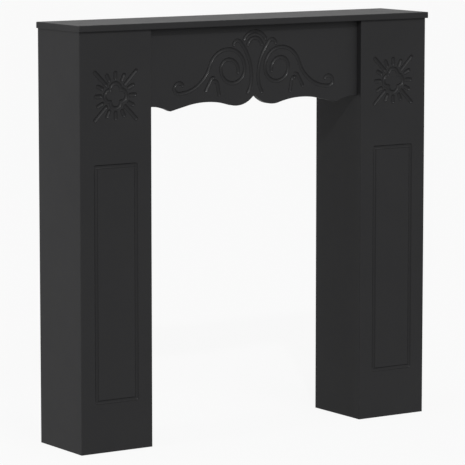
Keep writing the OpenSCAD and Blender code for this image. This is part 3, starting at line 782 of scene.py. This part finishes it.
def frieze_outline(f, step):
    """Outline of the frieze, against the clock seen from the front: the lower edge from left to
    right, then the top. The low and the long arch share a tangent, and the arch runs straight on
    to the downward point."""
    def bend(centre, radius, start, end):
        """Arc whose angles are measured from straight up, clockwise"""
        return arc(centre, radius, math.pi / 2 - start, math.pi / 2 - end, step)

    tip = f.low_drop - f.tip_drop
    low_radius = (f.low_run ** 2 + tip ** 2) / (2 * tip)
    low_turn = math.asin(f.low_run / low_radius)
    run, rise = f.crest_run - f.low_run, f.low_drop - f.crest_drop
    arch = (run ** 2 + rise ** 2) / (2 * rise) - low_radius
    arch_turn = math.asin(run / (low_radius + arch))
    cusp_run, cusp_height = f.cusp_run - f.crest_run, arch - (f.cusp_drop - f.crest_drop)
    arch_end = (math.atan2(cusp_run, cusp_height)
                - math.acos(arch / math.hypot(cusp_run, cusp_height)))
    lobe_run, lobe_rise = f.end_run - f.cusp_run, f.cusp_drop - f.end_drop
    lobe = (lobe_run ** 2 + lobe_rise ** 2) / (2 * lobe_rise)
    end_x = FRIEZE_HIGH.x
    half = chain(
        bend((f.low_run, low_radius - f.low_drop), low_radius, math.pi + low_turn,
             math.pi - arch_turn),
        bend((f.crest_run, -f.crest_drop - arch), arch, -arch_turn, arch_end))
    half += bend((f.end_run, -f.end_drop - lobe), lobe, -math.asin(lobe_run / lobe),
                 math.asin((end_x - f.end_run) / lobe))
    lower = mirrored(half[:0:-1]) + half
    return moved(lower + [(end_x, 0.0), (-end_x, 0.0)], 0.0, FRIEZE_HIGH.z)


# ---- Carved boards ----

# Turn from which a corner is rounded on its outer side, and the steps of such a fan
CORNER_TURN, FAN_STEP = math.radians(25), 0.16
# Parts of the round end of a groove, of its round section and of an edge's rounding
CAP_PARTS, COVE_PARTS, EASE_PARTS = 12, 8, 5
# Points in millimetres that lie this close together are joined
JOIN_WITHIN = 1e-4
# Asks the triangulation for the inside of the outline alone
INSIDE = 1


def left_normals(*steps):
    """Unit vector to the left of each step of a path"""
    return [np.array([-v[1], v[0]]) / np.linalg.norm(v) for v in steps]


def mitre(left_a, left_b):
    return (left_a + left_b) / (1 + left_a @ left_b)


def side_rail(points, reach, closed):
    """Line at one distance from a path: on its left, or on its right where reach is negative"""
    pts = np.array(points)
    count = len(pts)
    rail = []
    for i in range(count):
        before = pts[i] - pts[i - 1] if closed or i else pts[1] - pts[0]
        after = pts[(i + 1) % count] - pts[i] if closed or i < count - 1 else pts[-1] - pts[-2]
        a, b = left_normals(before, after)
        turn = math.atan2(a[0] * b[1] - a[1] * b[0], a @ b)
        if abs(turn) > CORNER_TURN and turn * reach < 0:
            start = math.atan2(a[1], a[0])
            parts = max(2, math.ceil(abs(turn) / FAN_STEP))
            rail += [np.array(on_circle(pts[i], reach, start + turn * k / parts))
                     for k in range(parts + 1)]
        else:
            rail.append(pts[i] + reach * mitre(a, b))
    return rail


def end_cap(tip, heading, reach):
    """Half circle round the end of a path, from its left to its right"""
    return [np.array(on_circle(tip, reach, heading + math.pi / 2 - math.pi * k / CAP_PARTS))
            for k in range(1, CAP_PARTS)]


def rails_of(points, closed, reaches):
    """Lines along a path at each distance, as (points, closed)"""
    lines = []
    for reach in reaches:
        if reach == 0.0:
            lines.append((np.array(points), closed))
        elif closed:
            lines.append((np.array(side_rail(points, reach, True)), True))
            lines.append((np.array(side_rail(points, -reach, True)), True))
        else:
            first, second, before, last = (np.array(points[i]) for i in (0, 1, -2, -1))
            ahead = math.atan2(*(last - before)[::-1])
            behind = math.atan2(*(first - second)[::-1])
            loop = (side_rail(points, reach, False) + end_cap(last, ahead, reach)
                    + side_rail(points, -reach, False)[::-1] + end_cap(first, behind, reach))
            lines.append((np.array(loop), True))
    return lines


def reaches_of(width, bit):
    """Distances from the middle of a groove at which its round section is meshed"""
    half = width / 2
    radius = half / math.sin(bit.wall)
    spread = bit.shoulder / math.tan(bit.wall)
    return ([radius * math.sin(bit.wall * k / COVE_PARTS) for k in range(COVE_PARTS)]
            + [half + k * spread for k in (-0.5, 0.0, 0.5, 1.0, 2.0)])


def inset(outline, amount_x, amount_z):
    """Outline moved inwards, mitred at its corners"""
    pts = np.array(outline)
    made = []
    for i in range(len(pts)):
        step = mitre(*left_normals(pts[i] - pts[i - 1], pts[(i + 1) % len(pts)] - pts[i]))
        made.append(pts[i] + step * (amount_x, amount_z))
    return made


def carved_board(name, outline, face, back, ease, grooves, bit):
    """Board with its front face at y = face, meshed along the grooves and rounded at its front
    edges. ease holds the rounding along x and z; grooves are (paths, width) pairs."""
    ring = inset(outline, *ease)
    points = [tuple(p / MM) for p in ring]
    count = len(points)
    edges = []
    for paths, width in grooves:
        for path, closed in paths:
            for line, loop in rails_of(path, closed, reaches_of(width, bit)):
                add_line(points, edges, [tuple(p / MM) for p in line], loop)
    flat, _, triangles, sources, _, _ = delaunay_2d_cdt(
        [Vector(p) for p in points], edges, [list(range(count))], INSIDE, JOIN_WITHIN)
    verts = [(p.x * MM, face, p.y * MM) for p in flat]
    loop = [None] * count
    for index, given in enumerate(sources):
        for source in given:
            if source < count:
                loop[source] = index
    faces = [list(t) for t in triangles]
    depth = max(ease)
    for k in range(1, EASE_PARTS + 1):
        turn = math.pi / 2 * k / EASE_PARTS
        left = 1 - math.sin(turn)
        layer = inset(outline, ease[0] * left, ease[1] * left)
        loop = add_ring(verts, faces, loop, layer, face + depth * (1 - math.cos(turn)))
    loop = add_ring(verts, faces, loop, outline, back)
    faces.append(loop[::-1])
    return object_from(name, verts, faces)


def add_line(points, edges, line, closed):
    """Adds the points of a line and the edges along it"""
    first = len(points)
    last = first + len(line) - 1
    points += line
    edges += [(i, i + 1) for i in range(first, last)]
    if closed:
        edges.append((last, first))


def add_ring(verts, faces, loop, layer, y):
    """Joins a new ring of points to the last one and returns it"""
    first = len(verts)
    verts += [(p[0], y, p[1]) for p in layer]
    count = len(layer)
    for i in range(count):
        j = (i + 1) % count
        faces.append([loop[j], loop[i], first + i, first + j])
    return list(range(first, first + count))


def path_object(name, paths, y):
    """Edges along each path, for the groove tree to measure from"""
    points, edges = [], []
    for path, closed in paths:
        add_line(points, edges, [(x, y, z) for x, z in path], closed)
    return object_from(name, points, [], edges)


def cut_grooves(board, face, grooves, bit, tree):
    """Runs the groove tree on a board once for each width of groove"""
    helpers = []
    for index, (paths, width) in enumerate(grooves):
        lines = path_object(f"{board.name}_paths_{index}", paths, face)
        run_tree(board, tree, {
            "Paths": lines, "Width": width, "Wall Angle": bit.wall, "Shoulder": bit.shoulder,
            "Face": face, "Material": material_of("black_paint")})
        helpers.append(lines)
    settle(board)
    remove(*helpers)


# ---- Operators ----

class SURROUND_OT_shelf(bpy.types.Operator):
    """Make the mantel shelf with rounded front and end edges"""
    bl_idname = "surround.shelf"
    bl_label = "Mantel shelf"

    def execute(self, context):
        shelf = eased_box("painted_mantel_shelf", *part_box("mantel_shelf"),
                          context.scene.surround_boards.shelf_edge, butted=("+y",), segments=6)
        bore(shelf, "mantel_shelf")
        hand_over(shelf, "black_paint", "mantel_shelf")
        return {"FINISHED"}


class SURROUND_OT_plain_boards(bpy.types.Operator):
    """Make the sides, cross boards and back rail with eased edges and their bores"""
    bl_idname = "surround.plain_boards"
    bl_label = "Plain boards"

    def execute(self, context):
        boards = context.scene.surround_boards
        for node, butted in PLAIN_BOARDS.items():
            low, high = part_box(node)
            board = eased_box("painted_" + node, low, high, boards.board_edge, butted)
            bore(board, node)
            if node == "back_rail":
                self.wall_screw_holes(board, low, high, boards)
            hand_over(board, "black_paint", node)
        return {"FINISHED"}

    def wall_screw_holes(self, board, low, high, boards):
        """Two holes through the rail, countersunk from the front"""
        holes, sinks = [], []
        sink = (boards.countersink - boards.screw_hole) / 2
        for side in (-1, 1):
            at = Vector((side * boards.screw_spacing / 2, low.y, (low.z + high.z) / 2))
            through = Vector((0, high.y - low.y, 0))
            past = Vector((0, PAST, 0))
            holes.append((at - past, at + through + past, boards.screw_hole / 2))
            wide = boards.countersink / 2 + PAST
            sinks.append((at - past, at + Vector((0, sink, 0)), wide, boards.screw_hole / 2))
        subtract(board, holes, sinks)


class SURROUND_OT_frieze(bpy.types.Operator):
    """Make the scalloped frieze and carve its scrolls, stems, leaves and fan"""
    bl_idname = "surround.frieze"
    bl_label = "Carved frieze"

    def execute(self, context):
        scene = context.scene
        shape, bit = scene.surround_frieze, scene.surround_bit
        scrolls, stems = frieze_paths(shape, bit.step)
        grooves = ((scrolls, shape.scroll_width), (stems, shape.stem_width))
        face, back = FRIEZE_LOW.y, FRIEZE_HIGH.y
        board = carved_board("carved_frieze", frieze_outline(shape, bit.step), face, back,
                             (shape.edge, shape.edge), grooves, bit)
        bore(board, "frieze_panel")
        cut_grooves(board, face, grooves, bit, groove_tree())
        hand_over(board, "black_paint", "frieze_panel")
        return {"FINISHED"}


class SURROUND_OT_column_fronts(bpy.types.Operator):
    """Make the two column fronts and carve their rosettes and panel grooves"""
    bl_idname = "surround.column_fronts"
    bl_label = "Carved column fronts"

    def execute(self, context):
        scene = context.scene
        column, bit = scene.surround_column, scene.surround_bit
        tree, rays = groove_tree(), self.rays(column)
        heart, panel = quatrefoil_path(column, bit.step), panel_path(column)
        face, back = FRONT_LOW.y, FRONT_HIGH.y
        up = FRONT_HIGH.z - column.rosette_drop
        for side, node in ((-1, "left_front_panel"), (1, "right_front_panel")):
            x = side * COLUMN_X
            left, right, top = x - COLUMN_W / 2, x + COLUMN_W / 2, FRONT_HIGH.z
            outline = [(left, 0.0), (right, 0.0), (right, top), (left, top)]
            grooves = (
                ([(moved(ray, x, up), False) for ray in rays], column.ray_width),
                ([(moved(heart, x, up), True)], column.lobe_width),
                ([(moved(panel, x, 0.0), True)], column.panel_width))
            board = carved_board("carved_" + node, outline, face, back,
                                 (scene.surround_boards.column_edge, 0.0), grooves, bit)
            bore(board, node)
            cut_grooves(board, face, grooves, bit, tree)
            hand_over(board, "black_paint", node)
        return {"FINISHED"}

    def rays(self, column):
        """The sunburst's rays as two-point paths round the origin"""
        hub = object_from("sunburst", [(0, 0, 0)], [])
        run_tree(hub, sunburst_tree(), {
            "Short Start": column.short_start, "Short End": column.short_end,
            "Long Start": column.long_start, "Long End": column.long_end,
            "Lean": column.ray_lean, "Quarters": 4})
        settle(hub)
        at = [(v.co.x, v.co.z) for v in hub.data.vertices]
        rays = [(at[e.vertices[0]], at[e.vertices[1]]) for e in hub.data.edges]
        remove(hub)
        return rays


# Cam nut: edge, sunk top, chamber, slot and mouth for the bolt, and the driver's cross
NUT_SIDES, NUT_CHAMFER = 64, 0.4 * MM
RIM_WIDTH, DISH_SLOPE, DISH_DEPTH = 1.1 * MM, 0.3 * MM, 0.35 * MM
CHAMBER_LENGTH, CHAMBER_RADIUS, SLOT_RADIUS = 7.3 * MM, 4 * MM, 2.2 * MM
MOUTH_RADIUS, MOUTH_TURN = 3.5 * MM, math.radians(-60)
CROSS_ARM, CROSS_TAPER = (4.4 * MM, 1.6 * MM, 8.6 * MM), (0.8, 0.55)
# Bolt: half the head's length, the neck's end, the collar, the thread and the tip
BOLT_SIDES, BOLT_EASE, SHANK_RADIUS, NECK_RADIUS = 40, 0.3 * MM, 3.2 * MM, 1.9 * MM
HEAD, NECK_END, COLLAR = 2 * MM, -8 * MM, 3 * MM
THREAD_DEPTH, THREAD_PLAIN, TIP_LENGTH, TIP_DROP = 0.7 * MM, 2 * MM, 0.6 * MM, 0.8 * MM
# Dowel
DOWEL_CHAMFER, FLUTE_DEPTH, FLUTE_POINTS = 1 * MM, 0.35 * MM, 4


class SURROUND_OT_cam_fittings(bpy.types.Operator):
    """Make the cam nuts and bolts and set them in their bores"""
    bl_idname = "surround.cam_fittings"
    bl_label = "Cam nuts and bolts"

    def execute(self, context):
        fittings = context.scene.surround_fittings
        tree = fitting_tree()
        nut, bolt = self.nut(fittings), self.bolt(fittings)
        for nuts, bolts in CAM_NODES:
            places = cam_places(nuts, bolts)
            set_fittings(nuts, places, nut, tree, "zinc")
            set_fittings(bolts, places, bolt, tree, "zinc")
        remove(nut, bolt)
        return {"FINISHED"}

    def nut(self, fittings):
        """Cam nut about the bolt's axis: a chamfered drum with a slot, a mouth and a cross"""
        radius, top, base = CAM_RADIUS - fittings.cam_play, HALF_BOARD, HALF_BOARD - CAM_HEIGHT
        dish = top - DISH_DEPTH
        bm = bmesh.new()
        lathe(bm, [(base, 0.0), (base, radius - NUT_CHAMFER), (base + NUT_CHAMFER, radius),
                   (top - NUT_CHAMFER, radius), (top, radius - NUT_CHAMFER),
                   (top, radius - RIM_WIDTH), (dish, radius - RIM_WIDTH - DISH_SLOPE),
                   (dish, 0.0)], NUT_SIDES)
        nut = object_from_bmesh("cam_nut", bm)
        half, down = Vector((CHAMBER_LENGTH / 2, 0, 0)), Vector((0, 0, -2 * HALF_BOARD))
        towards = Matrix.Rotation(MOUTH_TURN, 3, "X") @ -down
        subtract(nut, [(-half, half, CHAMBER_RADIUS)], [(Vector(), down, SLOT_RADIUS)],
                 [(Vector(), towards, MOUTH_RADIUS)])
        self.cross(nut, top)
        return nut

    def cross(self, nut, top):
        """Cross recess with sloping ends"""
        tools = []
        for turn in (45, 135):
            bm = bmesh.new()
            bmesh.ops.create_cube(bm, size=1.0, matrix=Matrix.Diagonal((*CROSS_ARM, 1.0)))
            for vert in bm.verts:
                if vert.co.x < 0:
                    vert.co.y *= CROSS_TAPER[0]
                    vert.co.z *= CROSS_TAPER[1]
            bm.transform(Matrix.Translation((top, 0, 0))
                         @ Matrix.Rotation(math.radians(turn), 4, "X"))
            tools.append(object_from_bmesh("cross", bm))
        cut_out(nut, tools)

    def bolt(self, fittings):
        """Connecting bolt about the nut's place: head, neck, shank, collar and thread"""
        seat, pitch, ease = -fittings.cam_reach, fittings.thread_pitch, BOLT_EASE
        tip, shank, collar = seat - THREAD_LENGTH, SHANK_RADIUS, SHAFT_BORE - fittings.cam_play
        crest, root = THREAD_BORE - fittings.cam_play, THREAD_BORE - THREAD_DEPTH
        profile = [(HEAD, 0.0), (HEAD, shank - 2 * ease), (HEAD - 2 * ease, shank),
                   (ease - HEAD, shank), (-HEAD, shank - ease), (-HEAD, NECK_RADIUS),
                   (NECK_END, NECK_RADIUS), (NECK_END, shank - ease), (NECK_END - ease, shank),
                   (seat + COLLAR, shank), (seat + COLLAR, collar - ease),
                   (seat + COLLAR - ease, collar), (seat, collar), (seat, root)]
        for i in range(int((THREAD_LENGTH - THREAD_PLAIN) / pitch)):
            at = seat - ease - i * pitch
            profile += [(at - 0.25 * pitch, crest), (at - 0.5 * pitch, crest), (at - pitch, root)]
        profile += [(tip + TIP_LENGTH, root), (tip, root - TIP_DROP), (tip, 0.0)]
        bm = bmesh.new()
        lathe(bm, profile[::-1], BOLT_SIDES, "z")
        return object_from_bmesh("cam_bolt", bm)


class SURROUND_OT_dowels(bpy.types.Operator):
    """Make the fluted beech dowels and set them in their bores"""
    bl_idname = "surround.dowels"
    bl_label = "Dowels"

    def execute(self, context):
        tree = fitting_tree()
        _, _, long, radius = dowel_places(DOWEL_NODES[0])[0]
        dowel = self.dowel(long, radius, context.scene.surround_fittings.flutes)
        for node in DOWEL_NODES:
            places = [place[:2] for place in dowel_places(node)]
            set_fittings(node, places, dowel, tree, "beech")
        remove(dowel)
        return {"FINISHED"}

    def dowel(self, long, radius, flutes):
        """Dowel along Z with straight flutes and chamfered ends"""
        end, body = long / 2, long / 2 - DOWEL_CHAMFER
        levels = [(-end, radius - DOWEL_CHAMFER, 0.0), (-body, radius, FLUTE_DEPTH),
                  (body, radius, FLUTE_DEPTH), (end, radius - DOWEL_CHAMFER, 0.0)]
        count = flutes * FLUTE_POINTS
        verts, faces = [], []
        for z, r, cut in levels:
            for k in range(count):
                here = r - (cut if k % FLUTE_POINTS == 0 else 0.0)
                verts.append((*on_circle((0, 0), here, 2 * math.pi * k / count), z))
        last = (len(levels) - 1) * count
        for first in range(0, last, count):
            for k in range(count):
                a, b = first + k, first + (k + 1) % count
                faces.append([a, b, b + count, a + count])
        faces += [list(range(count))[::-1], list(range(last, last + count))]
        dowel = object_from("dowel", verts, faces)
        grain = dowel.data.attributes.new("grain", "FLOAT_VECTOR", "POINT")
        grain.data.foreach_set("vector", [c for v in verts for c in v])
        return dowel


def lathe(bm, profile, sides, axis="x"):
    """Closed turned form. profile pairs places along the axis with radii, and starts and ends
    on the axis."""
    rings = []
    for along, radius in profile:
        count = 1 if radius == 0.0 else sides
        ring = []
        for k in range(count):
            a, b = on_circle((0, 0), radius, 2 * math.pi * k / sides)
            ring.append(bm.verts.new((along, a, b) if axis == "x" else (a, b, along)))
        rings.append(ring)
    for low, high in zip(rings, rings[1:]):
        for k in range(sides):
            corners = [low[k % len(low)], low[(k + 1) % len(low)], high[(k + 1) % len(high)],
                       high[k % len(high)]]
            bm.faces.new(list(dict.fromkeys(corners)))
    bmesh.ops.recalc_face_normals(bm, faces=bm.faces)


def set_fittings(node, places, fitting, tree, slot):
    """One piece that holds a fitting at each place of a CAD node"""
    piece = object_from(f"{slot}_{node}", [centre for centre, _ in places], [])
    turn = piece.data.attributes.new("turn", "FLOAT_VECTOR", "POINT")
    turn.data.foreach_set("vector", [a for _, matrix in places for a in matrix.to_euler()])
    run_tree(piece, tree, {"Fitting": fitting, "Material": material_of(slot)})
    settle(piece)
    hand_over(piece, slot, node)


FLOOR_SIDES, FLOOR_RADIUS = 96, 60.0
# Share of the floor's white that the lamps and surroundings give back where it is lit
LIT_SHARE = 0.8
# Direction towards a lamp from the part and its spread in degrees
KEY_LAMP, FRONT_LAMP = ((-0.416, -0.717, 0.559), 3), ((0.0, -0.9, 0.44), 50)
SIDE_PLACE, SIDE_SIZE = (-3.2, 0.0, 0.8), (0.5, 1.2)
# Camera, with its angles in radians and its sensor in millimetres
CAMERA_PLACE, CAMERA_DOWN, CAMERA_RIGHT = (-4.0465, -6.0638, 1.4370), 0.1308, 0.5868
SENSOR, CLIP = 36.0, (0.1, 200.0)


class SURROUND_OT_stage(bpy.types.Operator):
    """Lay the floor and set the lamps, the surroundings and the camera"""
    bl_idname = "surround.stage"
    bl_label = "Floor, light and camera"

    def execute(self, context):
        scene, stage = context.scene, context.scene.surround_stage
        scene.view_settings.view_transform = "Standard"
        self.floor(stage)
        self.surroundings(scene, stage)
        self.lamps(stage)
        self.camera(scene, stage)
        return {"FINISHED"}

    def unlit_rays(self, made):
        """1 for the rays that see the backdrop as such: the camera's, and those of gloss"""
        path = made.add("ShaderNodeLightPath").outputs
        seen = made.math("ADD", path["Is Camera Ray"], path["Is Glossy Ray"])
        return made.math("MINIMUM", made.math("ADD", seen, path["Is Transmission Ray"]), 1.0)

    def floor(self, stage):
        """Round pale floor that runs out of sight"""
        bm = bmesh.new()
        bmesh.ops.create_circle(bm, cap_ends=True, segments=FLOOR_SIDES, radius=FLOOR_RADIUS)
        floor = object_from_bmesh("floor", bm)
        material, made = new_material("pale_floor")
        lit = made.add("ShaderNodeBsdfDiffuse", {"Color": stage.floor})
        faint = made.add("ShaderNodeBsdfDiffuse", {
            "Color": tuple(stage.shadow * c for c in stage.floor[:3]) + (1.0,)})
        white = made.add("ShaderNodeEmission", {"Strength": 1.0 - LIT_SHARE * stage.shadow})
        both = made.add("ShaderNodeAddShader", {0: faint.outputs[0], 1: white.outputs[0]})
        seen = made.add("ShaderNodeMixShader", {0: self.unlit_rays(made), 1: lit.outputs[0],
                                                2: both.outputs[0]})
        made.surface(seen)
        floor.data.materials.append(material)

    def surroundings(self, scene, stage):
        """White where it is seen or mirrored, and a softer light from all round"""
        world = bpy.data.worlds.new("white_surroundings")
        world.use_nodes = True
        world.node_tree.nodes.clear()
        made = Tree(world.node_tree)
        strength = made.add("ShaderNodeMapRange", {
            "Value": self.unlit_rays(made), "To Min": stage.world, "To Max": 1.0}).outputs[0]
        sky = made.add("ShaderNodeBackground", {"Color": (1, 1, 1, 1), "Strength": strength})
        made.add("ShaderNodeOutputWorld", {"Surface": sky.outputs[0]})
        scene.world = world

    def lamps(self, stage):
        """A small key lamp high on the left, a broad one in front and a soft one at the left"""
        for name, energy, (towards, width) in (("key_lamp", stage.key, KEY_LAMP),
                                               ("front_lamp", stage.front, FRONT_LAMP)):
            self.lamp(name, "SUN", energy, towards).data.angle = math.radians(width)
        side = self.lamp("side_lamp", "AREA", stage.side, (-1.0, 0.0, 0.0))
        side.location = SIDE_PLACE
        side.data.shape, side.data.size, side.data.size_y = "RECTANGLE", *SIDE_SIZE

    def lamp(self, name, kind, energy, towards):
        """Lamp that shines onto the part from a direction"""
        data = bpy.data.lights.new(name, kind)
        data.energy = energy
        lamp = new_object(name, data)
        lamp.rotation_euler = Vector(towards).to_track_quat("Z", "Y").to_euler()
        return lamp

    def camera(self, scene, stage):
        """Camera at the photograph's place, turned to the right and slightly down"""
        data = bpy.data.cameras.new("camera")
        data.lens, data.sensor_width = stage.lens, SENSOR
        data.clip_start, data.clip_end = CLIP
        camera = new_object("camera", data)
        camera.location = CAMERA_PLACE
        camera.rotation_euler = (math.pi / 2 - CAMERA_DOWN, 0.0, -CAMERA_RIGHT)
        scene.camera = camera


class SURROUND_PT_panel(bpy.types.Panel):
    """Sizes, colours and steps of the fireplace surround"""
    bl_idname = "SURROUND_PT_panel"
    bl_label = "Fireplace surround"
    bl_space_type = "VIEW_3D"
    bl_region_type = "UI"
    bl_category = "Surround"

    def draw(self, context):
        for step in STEPS:
            self.layout.operator(step.bl_idname)
        for name, group in SETTINGS.items():
            box = self.layout.box()
            box.label(text=group.__doc__)
            for field in group.__annotations__:
                box.prop(getattr(context.scene, name), field)


SETTINGS = {
    "surround_finish": SurroundFinish,
    "surround_boards": SurroundBoards,
    "surround_bit": SurroundBit,
    "surround_column": SurroundColumn,
    "surround_frieze": SurroundFrieze,
    "surround_fittings": SurroundFittings,
    "surround_stage": SurroundStage,
}
STEPS = (SURROUND_OT_shelf, SURROUND_OT_plain_boards, SURROUND_OT_frieze,
         SURROUND_OT_column_fronts, SURROUND_OT_cam_fittings, SURROUND_OT_dowels,
         SURROUND_OT_stage)


def register():
    for cls in (*SETTINGS.values(), *STEPS, SURROUND_PT_panel):
        bpy.utils.register_class(cls)
    for name, group in SETTINGS.items():
        setattr(bpy.types.Scene, name, PointerProperty(type=group))


def unregister():
    for name in SETTINGS:
        delattr(bpy.types.Scene, name)
    for cls in (SURROUND_PT_panel, *STEPS[::-1], *list(SETTINGS.values())[::-1]):
        bpy.utils.unregister_class(cls)


def main():
    register()
    bpy.ops.surround.shelf()
    bpy.ops.surround.plain_boards()
    bpy.ops.surround.frieze()
    bpy.ops.surround.column_fronts()
    bpy.ops.surround.cam_fittings()
    bpy.ops.surround.dowels()
    bpy.ops.surround.stage()


if __name__ == "__main__":
    main()
